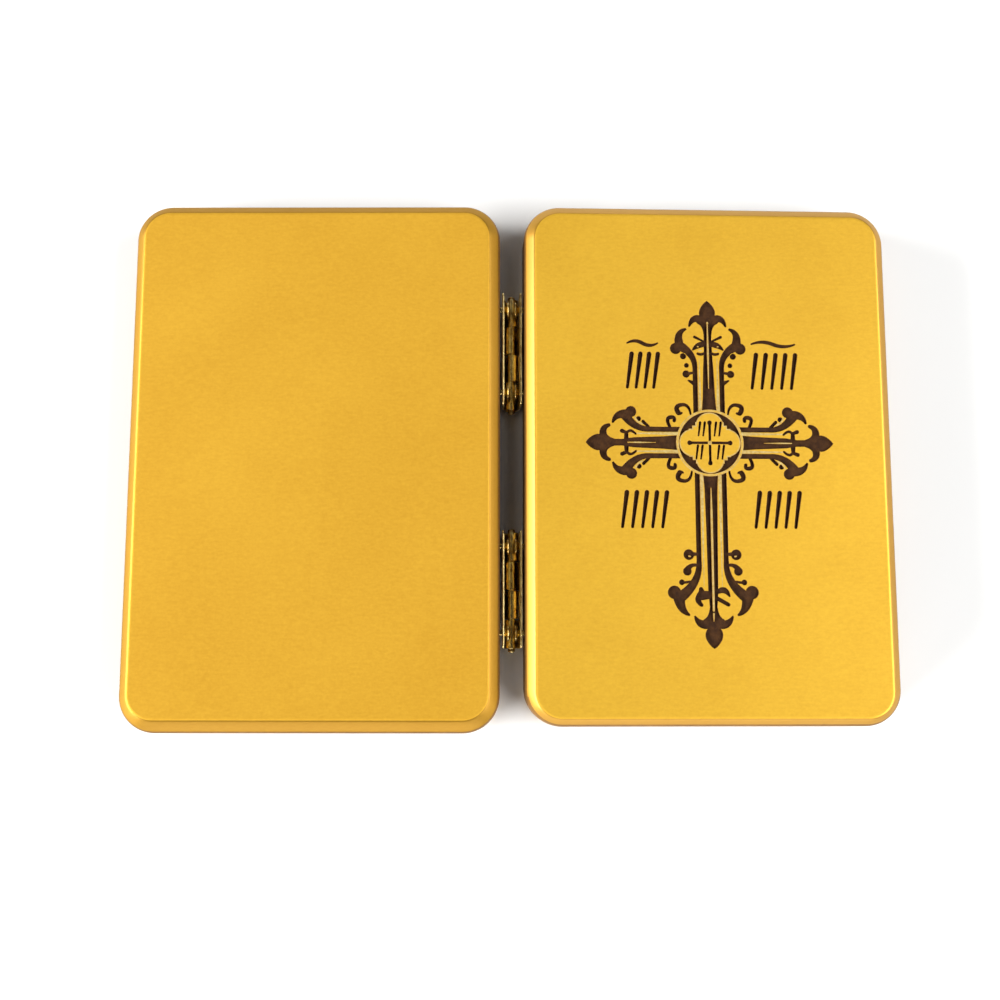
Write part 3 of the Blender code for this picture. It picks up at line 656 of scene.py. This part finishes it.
# %% Drawing a whole arm
def arm(scale, bud, stem, bar_end, both, left, right, balls, ribs, glints, fade):
    """Burnt outlines, pale channels and pale lines of one arm that points along +Y. The pale parts are partly
    painted highlight.
    """
    def marks(drawn, side):
        return [stroke([Vector((side * x, y)) * scale for x, y in line], [width * scale for width in widths])
                for line, widths in drawn]

    base, tip, width = bud
    cuts = [leaf(Vector((0.0, base)) * scale, Vector((0.0, tip)) * scale, width * scale)]
    for (start, start_half), (stop, stop_half) in zip(stem, stem[1:]):
        cuts += marks([([(0.0, start), (0.0, stop)], [2.0 * start_half, 2.0 * stop_half])], 1)
    channels = []
    pale_lines = marks(ribs, 1)
    for side, own in ((-1, left), (1, right)):
        bar = [(ARM_BAR_OFFSET, ARM_BAR_START), (ARM_BAR_OFFSET, bar_end)]
        cuts += marks([(bar, [ARM_BAR_WIDTH, ARM_BAR_WIDTH])] + both + own, side)
        cuts += [disc(Vector((side * x, y)) * scale, radius * scale) for x, y, radius in balls]
        channel = [(CHANNEL_OFFSET, CHANNEL_START), (CHANNEL_OFFSET, fade)]
        channels += marks([(channel, [CHANNEL_WIDTH, CHANNEL_TIP])], side)
        pale_lines += marks(glints, side)
    return cuts, channels, pale_lines


# %% Scrolls between the arms
SCROLL_MARKS = [
    ([(3.80, 5.9), (4.05, 7.9), (5.50, 7.8)], [0.40, 0.60, 0.70]),
    ([(5.40, 7.8), (7.30, 7.6), (6.25, 6.1)], [0.70, 1.00, 1.00]),
    ([(6.40, 6.2), (5.95, 5.9), (5.60, 6.1)], [0.90, 0.70, 0.40]),
    ([(8.05, 3.2), (9.10, 5.2), (7.70, 5.2)], [0.60, 0.80, 0.80]),
    ([(7.80, 5.2), (7.00, 5.3), (7.15, 4.5)], [0.75, 0.80, 0.70]),
]


def scrolls():
    """The two scrolls in the quarter between +X and +Y."""
    return [stroke([Vector((x, y)) * MM for x, y in line], [width * MM for width in widths])
            for line, widths in SCROLL_MARKS]


# %% Turning and mirroring outlines
def turned(outlines, angle):
    rotation = Matrix.Rotation(angle, 2)
    return [[rotation @ point for point in outline] for outline in outlines]


def mirrored(outlines, flip_x, flip_y):
    return [[Vector((point.x * flip_x, point.y * flip_y)) for point in outline] for outline in outlines]


# %% [markdown]
# ## Rows of strokes
#
# Four groups of marks fill the corners round the cross, two of them under a low wavy stroke, and smaller ones
# fill the medallion. Here they are rows of leaning strokes of the same weight and height, which spell
# nothing.

# %% Sizes of the rows
ROW_HEIGHT = 7.0 * MM
ROW_STROKE = 0.85 * MM
ROW_LEAN = math.radians(8.0)
UPPER_ROWS_RISE = 14.8 * MM
LOWER_ROWS_DROP = 13.6 * MM
ROW_OFFSET = 13.4 * MM
NARROW_ROW = 6.2 * MM
WIDE_ROW = 8.9 * MM
ROW_PITCH = 2.0 * MM
WAVE_RISE = 5.7 * MM
WAVE_WIDTH = 0.75 * MM
WAVE_TIP = 0.3 * MM
WAVE_SWING = 0.9 * MM


# %% A row of leaning strokes
def stroke_row(centre, width, height, thickness, pitch_wanted):
    lean = Vector((math.sin(ROW_LEAN), math.cos(ROW_LEAN))) * height * 0.5
    count = max(2, 1 + round((width - thickness) / pitch_wanted))
    pitch = (width - thickness) / (count - 1)
    rows = []
    for k in range(count):
        middle = centre + Vector((pitch * (k - (count - 1) / 2.0), 0.0))
        rows.append(stroke([middle - lean, middle + lean], [0.7 * thickness, 1.1 * thickness]))
    return rows


def wave(centre, width):
    """Low wavy stroke over a row."""
    swing = Vector((0.0, WAVE_SWING))
    reach = Vector((width / 2.0, 0.0))
    widths = [WAVE_TIP, WAVE_WIDTH, WAVE_WIDTH]
    first = stroke([centre - reach, centre - reach / 2.0 + swing, centre], widths)
    second = stroke([centre, centre + reach / 2.0 - swing, centre + reach], widths[::-1])
    return [first, second]


def corner_rows():
    cuts = []
    for side, width in ((-1, NARROW_ROW), (1, WIDE_ROW)):
        centre = Vector((side * ROW_OFFSET, UPPER_ROWS_RISE))
        cuts += stroke_row(centre, width, ROW_HEIGHT, ROW_STROKE, ROW_PITCH)
        cuts += wave(centre + Vector((0.0, WAVE_RISE)), width)
        centre = Vector((side * ROW_OFFSET, -LOWER_ROWS_DROP))
        cuts += stroke_row(centre, WIDE_ROW, ROW_HEIGHT, ROW_STROKE, ROW_PITCH)
    return cuts


# %% The medallion
QUATREFOIL_REACH = 6.0 * MM
QUATREFOIL_LOBE = 2.60 * MM
QUATREFOIL_SQUARE = 3.3 * MM
QUATREFOIL_STEP = (4.0 * MM, 2.65 * MM)
QUATREFOIL_RIM = 0.24 * MM
INNER_CROSS_REACH = 4.5 * MM
INNER_CROSS_WIDTH = 0.50 * MM
INNER_CROSS_END = 0.95 * MM
BOSS_RADIUS = 0.46 * MM
SMALL_ROW_WIDTH = 1.4 * MM
SMALL_ROW_HEIGHT = 2.7 * MM
SMALL_ROW_STROKE = 0.45 * MM
SMALL_ROW_SHARES = ((0.27, 0.47), (0.36, -0.32))
RING_SIDES = 96


def quatrefoil(grow):
    """Four lobes, a square and two steps at each of its corners, all grown by the same amount."""
    origin = Vector((0.0, 0.0))
    long_side, short_side = (size + grow for size in QUATREFOIL_STEP)
    shapes = [box_outline(origin, QUATREFOIL_SQUARE + grow, QUATREFOIL_SQUARE + grow),
              box_outline(origin, long_side, short_side), box_outline(origin, short_side, long_side)]
    for quarter in range(4):
        direction = Matrix.Rotation(quarter * math.pi / 2.0, 2) @ Vector((0.0, 1.0))
        shapes.append(disc(direction * (QUATREFOIL_REACH - QUATREFOIL_LOBE), QUATREFOIL_LOBE + grow, 48))
    return shapes


def inner_cross():
    """Thin cross with flared ends."""
    marks = []
    for quarter in range(4):
        direction = Matrix.Rotation(quarter * math.pi / 2.0, 2) @ Vector((0.0, 1.0))
        flare = direction * (INNER_CROSS_REACH - INNER_CROSS_END)
        tip = direction * (INNER_CROSS_REACH - 0.4 * INNER_CROSS_END)
        marks.append(stroke([Vector((0.0, 0.0)), flare], [INNER_CROSS_WIDTH, INNER_CROSS_WIDTH]))
        marks.append(stroke([flare, tip], [INNER_CROSS_WIDTH, INNER_CROSS_END]))
    return marks


def medallion():
    """Layers of the medallion, each as its outlines and the finish that they get."""
    origin = Vector((0.0, 0.0))
    ring = disc(origin, MEDALLION_RADIUS, RING_SIDES)
    band = disc(origin, MEDALLION_RADIUS - MEDALLION_LINE, RING_SIDES)
    inner_ring = disc(origin, MEDALLION_RADIUS - MEDALLION_RING + MEDALLION_LINE, RING_SIDES)
    field = disc(origin, MEDALLION_RADIUS - MEDALLION_RING, RING_SIDES)
    marks = inner_cross()
    for side in (-1, 1):
        for aside, rise in SMALL_ROW_SHARES:
            centre = Vector((side * aside, rise)) * QUATREFOIL_REACH
            marks += stroke_row(centre, SMALL_ROW_WIDTH, SMALL_ROW_HEIGHT, SMALL_ROW_STROKE,
                                SMALL_ROW_WIDTH)
    boss = disc(origin, BOSS_RADIUS, 8)
    # The pale rim round the quatrefoil is a painted highlight.
    return [([ring], PALE), ([band], GILT), ([inner_ring], PALE), ([field], BURNT),
            (quatrefoil(QUATREFOIL_RIM), PALE), (quatrefoil(0.0), GILT), (marks, BURNT), ([boss], PALE)]


# %% All the layers, bottom first
def drawing():
    """Every layer of the engraving. The foot is turned round, so its left marks are drawn on its right."""
    top = arm(TOP_REACH / TOP_DRAWN_REACH, TOP_BUD, TOP_STEM, TOP_BAR_END, TOP_MARKS, [], [],
              TOP_BALLS, TOP_RIBS, TOP_GLINTS, TOP_FADE)
    foot = arm(FOOT_REACH / FOOT_DRAWN_REACH, FOOT_BUD, FOOT_STEM, FOOT_BAR_END, FOOT_MARKS,
               FOOT_RIGHT_MARKS, FOOT_LEFT_MARKS, FOOT_BALLS, FOOT_RIBS, FOOT_GLINTS, FOOT_FADE)
    sideways = arm(SIDE_REACH / SIDE_DRAWN_REACH, SIDE_BUD, SIDE_STEM, SIDE_BAR_END, SIDE_MARKS, [], [],
                   SIDE_BALLS, SIDE_RIBS, SIDE_GLINTS, SIDE_FADE)
    cuts = []
    channels = []
    lines = []
    for quarters, (outlines, channel, pale_lines) in enumerate((top, sideways, foot, sideways)):
        angle = quarters * math.pi / 2.0
        cuts += turned(outlines, angle)
        channels += turned(channel, angle)
        lines += turned(pale_lines, angle)
    for flip_x in (-1, 1):
        for flip_y in (-1, 1):
            cuts += mirrored(scrolls(), flip_x, flip_y)
    cuts += corner_rows()
    return [(channels, PALE), (cuts, BURNT), (lines, PALE)] + medallion()


layers = drawing()
print("the drawing has", sum(len(outlines) for outlines, finish in layers), "outlines")

# %% [markdown]
# ## Burning the cross into the board
#
# The strokes overlap each other, so they are laid out as paint is: the outline drawn last decides what shows.
# Booleans would cut a hundred tools one after another. Blender's constrained triangulation does it in one
# go: it takes every outline at once and says, for each face that it makes, which outlines it lies in. Then
# two insets model what the beam leaves. The first draws a thin scorched rim on the standing side of every
# cut, the second the steep wall on the burnt side, and the floor sinks below them.

# %% Depths of a cut
CUT_DEPTH = 0.30 * MM
RIM_WIDTH = 0.06 * MM
RIM_DROP = 0.03 * MM
WALL_WIDTH = 0.05 * MM


# %% Laying out the pattern
def counter_clockwise(outline):
    doubled = sum(a.cross(b) for a, b in zip(outline, outline[1:] + outline[:1]))
    return outline if doubled > 0.0 else outline[::-1]


def lay_out(bm, outline, layers, centre, height):
    """Fills the outline with flat faces, each with the finish of the last outline that it lies in."""
    points = list(outline)
    loops = [list(range(len(outline)))]
    finishes = [GILT]
    for outlines, finish in layers:
        for loop in outlines:
            loops.append(list(range(len(points), len(points) + len(loop))))
            points += [point + centre for point in counter_clockwise(loop)]
            finishes.append(finish)
    flat, _, faces, _, _, owners = delaunay_2d_cdt(points, [], loops, 1, MERGE)
    verts = [bm.verts.new((point.x, point.y, height)) for point in flat]
    for corners, owner in zip(faces, owners):
        face = bm.faces.new([verts[corner] for corner in corners])
        face.material_index = finishes[max(owner)]
    return verts


# %% Cutting the engraved face
def engrave(bm, layers, centre, height):
    """Swaps the board's flat face for the engraved one."""
    old = level_faces(bm, height)[0]
    corners = [vert for vert in old.verts]
    outline = counter_clockwise([Vector((vert.co.x, vert.co.y)) for vert in corners])
    bmesh.ops.delete(bm, geom=[old], context="FACES_ONLY")
    verts = lay_out(bm, outline, layers, centre, height)
    bm.normal_update()
    flat = level_faces(bm, height)
    sunk = [face for face in flat if face.material_index == BURNT]
    kept = [face for face in flat if face.material_index != BURNT]
    rims = bmesh.ops.inset_region(bm, faces=kept, use_boundary=False, thickness=RIM_WIDTH)["faces"]
    for face in rims:
        face.material_index = SCORCH
    edge = {vert for face in sunk for vert in face.verts}
    bmesh.ops.translate(bm, verts=list(edge), vec=(0.0, 0.0, -RIM_DROP))
    walls = bmesh.ops.inset_region(bm, faces=sunk, thickness=WALL_WIDTH, depth=RIM_DROP - CUT_DEPTH)["faces"]
    for face in walls:
        face.material_index = BURNT
    bmesh.ops.remove_doubles(bm, verts=corners + verts[:len(outline)], dist=MERGE)
    print("the engraved face has", len(flat), "flat faces,", len(rims), "rims and", len(walls), "walls")


# %% Front board
low, high = box_in(front_half, "front_board")
cross_centre = Vector(((low.x + high.x) / 2.0 + CROSS_SHIFT, high.y - CROSS_DROP))
engraved = board_shape(low, high, FRONT_FOOT_CHAMFER, -1)
engrave(engraved, layers, cross_centre, high.z)
add_piece("engraved_front_board", engraved, front_half, "front_half", "front_board",
          [front_gold, front_chamfer_shade, side_shade, pale, burnt, scorched])
print("the front board is", [round(side / MM, 2) for side in high - low], "mm")

# %% [markdown]
# ## The hinges
#
# A box hinge is stamped from one strip: a flat leaf that lies on the board's edge, and knuckles rolled round
# the pin. The middle line of the sheet is drawn once, pulled along the hinge in bands, and the bands that the
# other leaf's knuckles need are taken out of the roll. Solidify then gives the sheet its thickness, and a
# small bevel takes the sharpness off, which is what catches the light on a real one. The sheet is thinner
# than the solid's, and its face towards the gap stays where the solid has it.

# %% Hinge sizes
SHEET = 0.42 * MM
SHEET_SET_IN = 0.18 * MM
LEAF_FOOT = 1.2 * MM
ELBOW_STEPS = 4
KNUCKLE_PAIRS = 2
KNUCKLE_GAP = 0.25 * MM
BARREL_WRAP = math.radians(285.0)
BARREL_STEPS = 40
LEAF_CORNER = 0.9 * MM
SHEET_ARRIS = 0.14 * MM


# %% Middle line of the sheet
def sheet_line(flat_x, rolled, reach):
    """Points in X and Z from the leaf's free edge down and round the barrel."""
    points = [Vector((flat_x, reach)), Vector((flat_x, LEAF_FOOT))]
    elbow = [Vector((flat_x, LEAF_FOOT)),
             Vector(((flat_x + rolled) / 2.0, LEAF_FOOT / 2.0)),
             Vector((rolled, 0.0))]
    points += [bend(elbow, k / ELBOW_STEPS) for k in range(1, ELBOW_STEPS)]
    for k in range(BARREL_STEPS + 1):
        angle = -BARREL_WRAP * k / BARREL_STEPS
        points.append(Vector((rolled * math.cos(angle), rolled * math.sin(angle))))
    return points


# %% One leaf with its knuckles
def leaf_shape(low, high):
    """Leaf in its half's frame, as a sheet with no thickness yet."""
    flat_x = high.x - SHEET_SET_IN - SHEET / 2.0
    line = sheet_line(flat_x, -low.z - SHEET / 2.0, high.z)
    length = high.y - low.y
    pitch = length / (2 * KNUCKLE_PAIRS)
    ends = [low.y]
    for k in range(KNUCKLE_PAIRS):
        own_start = low.y + 2 * k * pitch
        if k:
            ends.append(own_start + KNUCKLE_GAP / 2.0)
        ends.append(own_start + pitch - KNUCKLE_GAP / 2.0)
    ends.append(high.y)
    bm = bmesh.new()
    row = [bm.verts.new((point.x, ends[0], point.y)) for point in line]
    edges = [bm.edges.new(pair) for pair in zip(row, row[1:])]
    slots = []
    for band in range(len(ends) - 1):
        grown = bmesh.ops.extrude_edge_only(bm, edges=edges)["geom"]
        faces = [item for item in grown if isinstance(item, bmesh.types.BMFace)]
        verts = [item for item in grown if isinstance(item, bmesh.types.BMVert)]
        edges = [item for item in grown if isinstance(item, bmesh.types.BMEdge)
                 and all(vert in verts for vert in item.verts)]
        bmesh.ops.translate(bm, verts=verts, vec=(0.0, ends[band + 1] - ends[band], 0.0))
        if band % 2:
            slots += [face for face in faces if face.calc_center_median().x < flat_x - MERGE]
    bmesh.ops.delete(bm, geom=slots, context="FACES")
    corners = [vert for vert in bm.verts if vert.co.z > high.z - MERGE
               and min(vert.co.y - low.y, high.y - vert.co.y) < MERGE]
    bmesh.ops.bevel(bm, geom=corners, offset=LEAF_CORNER, affect="VERTICES", segments=6, profile=0.5,
                    material=-1)
    return bm


def add_leaf(level, half_name, half):
    """Makes a leaf, thickens and softens it, and gives back the hinge's length."""
    node = level + "_hinge_" + half_name + "_leaf"
    low, high = box_in(half, node)
    bm = leaf_shape(low, high)
    bmesh.ops.recalc_face_normals(bm, faces=bm.faces)
    for face in bm.faces:
        face.smooth = True
    leaf_piece = add_piece(level + "_" + half_name + "_rolled_leaf", bm, half, half_name + "_half", node,
                           [sheet_brass])
    thick = leaf_piece.modifiers.new("Sheet", "SOLIDIFY")
    thick.thickness = SHEET
    thick.offset = 0.0
    thick.use_even_offset = True
    arris = leaf_piece.modifiers.new("Arris", "BEVEL")
    arris.width = SHEET_ARRIS
    arris.segments = 4
    arris.limit_method = "ANGLE"
    arris.angle_limit = math.radians(50.0)
    arris.harden_normals = True
    return high.y - low.y


# %% [markdown]
# ## Nails and pins
#
# A small nail's head is a shallow dome with a rounded rim. It is turned from a profile, as a lathe would, and
# so is its shank, which is hidden in the board and guessed. The pin is a length of wire with rounded ends.

# %% Nail and pin shapes
NAIL_SIDES = 40
RIM_STEPS = 6
NAIL_DOME = 0.8 * MM
NAIL_STAND_OFF = 0.3 * MM
HEAD_RISE = 0.12 * MM
HEAD_EDGE = 0.20 * MM
SHANK_RADIUS = 0.55 * MM
NAIL_POINT = 1.6 * MM


def nail_shape(low, high):
    """Nail along +X in its half's frame, its head a shallow dome with a rounded rim."""
    head_radius = (high.y - low.y) / 2.0
    underside = low.x + NAIL_DOME
    rim_x = low.x + HEAD_RISE + HEAD_EDGE
    profile = [(low.x, 0.0), (low.x + 0.3 * HEAD_RISE, 0.6 * head_radius)]
    for k in range(RIM_STEPS + 1):
        angle = math.pi * k / RIM_STEPS
        profile.append((rim_x - HEAD_EDGE * math.cos(angle),
                        head_radius - HEAD_EDGE * (1.0 - math.sin(angle))))
    profile.append((underside, 0.5 * head_radius))
    profile.append((underside + NAIL_STAND_OFF, SHANK_RADIUS))
    profile.append((high.x - NAIL_POINT, SHANK_RADIUS))
    profile.append((high.x, 0.0))
    centre = (low + high) / 2.0
    bm = bmesh.new()
    chain = [bm.verts.new((x, centre.y, centre.z + radius)) for x, radius in profile]
    edges = [bm.edges.new(pair) for pair in zip(chain, chain[1:])]
    bmesh.ops.spin(bm, geom=chain + edges, cent=centre, axis=(1.0, 0.0, 0.0), angle=2.0 * math.pi,
                   steps=NAIL_SIDES, use_merge=True)
    bmesh.ops.remove_doubles(bm, verts=bm.verts, dist=MERGE)
    bmesh.ops.recalc_face_normals(bm, faces=bm.faces)
    for face in bm.faces:
        face.smooth = True
    return bm


def pin_shape(low, high):
    """Hinge pin along Y in its half's frame, its ends rounded over."""
    radius = (high.z - low.z) / 2.0
    bm = bmesh.new()
    turn = Matrix.Translation((low + high) / 2.0) @ Matrix.Rotation(math.pi / 2.0, 4, "X")
    bmesh.ops.create_cone(bm, cap_ends=True, segments=NAIL_SIDES, radius1=radius, radius2=radius,
                          depth=high.y - low.y, matrix=turn)
    ends = [face for face in bm.faces if len(face.verts) > 4]
    bevel_rim(bm, [edge for face in ends for edge in face.edges], 0.6 * radius, 6)
    for face in bm.faces:
        face.smooth = len(face.verts) == 4
    return bm


# %% Both hinges
NAIL_CREASE = math.radians(40.0)

for level in ("upper", "lower"):
    for half_name, half in (("back", back_half), ("front", front_half)):
        length = add_leaf(level, half_name, half)
        for end in ("upper", "lower"):
            node = level + "_hinge_" + half_name + "_" + end + "_nail"
            shape = nail_shape(*box_in(half, node))
            nail = add_piece(level + "_" + half_name + "_" + end + "_domed_nail", shape, half,
                             half_name + "_half", node, [nail_brass])
            nail.data.set_sharp_from_angle(angle=NAIL_CREASE)
    node = level + "_hinge_pin"
    add_piece(level + "_round_pin", pin_shape(*box_in(back_half, node)), back_half, "back_half", node,
              [pin_brass])
    print("the", level, "hinge is", round(length / MM, 1), "mm long")

# %% [markdown]
# ## Table and light
#
# The table is plain white. The light comes from a wide low window on the left and a weaker panel on the
# right, with faint low panels at the near and the far side, and little from above. That is why the gap
# between the boards is so dark while the table round them is pure white: a point at the bottom of the gap
# sees only what is overhead. Two narrow strips over the left and the right stand far enough out that the
# middle of the gap's floor doesn't see them.

# %% Table
FLOOR_SIDE = 10.0
floor_mesh = bmesh.new()
bmesh.ops.create_grid(floor_mesh, x_segments=1, y_segments=1, size=FLOOR_SIDE / 2.0)
floor_data = bpy.data.meshes.new("white_table")
floor_mesh.to_mesh(floor_data)
floor_mesh.free()
table_paint, _, table_shader, _ = start_finish("white_table_top")
table_shader.inputs["Base Color"].default_value = (0.88, 0.88, 0.87, 1.0)
table_shader.inputs["Roughness"].default_value = 0.9
table_shader.inputs["Specular IOR Level"].default_value = 0.1
floor_data.materials.append(table_paint)
floor = bpy.data.objects.new("white_table", floor_data)
bpy.context.scene.collection.objects.link(floor)


# %% Panels of light
def add_panel(name, place, width, height, power):
    """Soft rectangular light that faces the diptych."""
    data = bpy.data.lights.new(name, "AREA")
    data.shape = "RECTANGLE"
    data.size = width
    data.size_y = height
    data.energy = power
    panel = bpy.data.objects.new(name, data)
    panel.location = place
    panel.rotation_euler = (-Vector(place)).to_track_quat("-Z", "Y").to_euler()
    bpy.context.scene.collection.objects.link(panel)


def around(azimuth, elevation, distance):
    """Place at a distance from the diptych. Azimuth 0 is +X and 90 is +Y."""
    flat = distance * math.cos(math.radians(elevation))
    return (flat * math.cos(math.radians(azimuth)), flat * math.sin(math.radians(azimuth)),
            distance * math.sin(math.radians(elevation)))


add_panel("window_light", around(191.0, 17.5, 3.0), width=3.6, height=0.42, power=311.0)
add_panel("right_panel", around(-10.0, 30.0, 2.4), width=3.0, height=1.6, power=122.0)
add_panel("near_panel", around(-90.0, 8.0, 2.0), width=2.4, height=0.4, power=28.0)
add_panel("far_panel", around(90.0, 5.0, 2.0), width=2.4, height=0.3, power=12.0)
add_panel("left_strip", (-0.53, 0.25, 1.19), width=1.0, height=0.10, power=0.8)
add_panel("right_strip", (0.53, 0.25, 1.19), width=1.0, height=0.10, power=0.7)
print("lit by", len(bpy.data.lights), "panels")

# %% [markdown]
# The room behind the table is white to the camera and nearly dark to everything else. So a low view has a
# pale backdrop, and the gap still gets no light from the room.

# %% Pale room behind the table
ROOM_GLOW = 0.04
world = bpy.data.worlds.new("pale_room")
bpy.context.scene.world = world
world.use_nodes = True
room_nodes = world.node_tree.nodes
room_links = world.node_tree.links
backdrop = room_nodes["Background"]
backdrop.inputs["Color"].default_value = (1.0, 1.0, 1.0, 1.0)
glow = room_nodes.new("ShaderNodeMapRange")
glow.inputs["To Min"].default_value = ROOM_GLOW
glow.inputs["To Max"].default_value = 1.0
room_links.new(room_nodes.new("ShaderNodeLightPath").outputs["Is Camera Ray"], glow.inputs["Value"])
room_links.new(glow.outputs["Result"], backdrop.inputs["Strength"])
bpy.context.scene.view_settings.view_transform = "Standard"
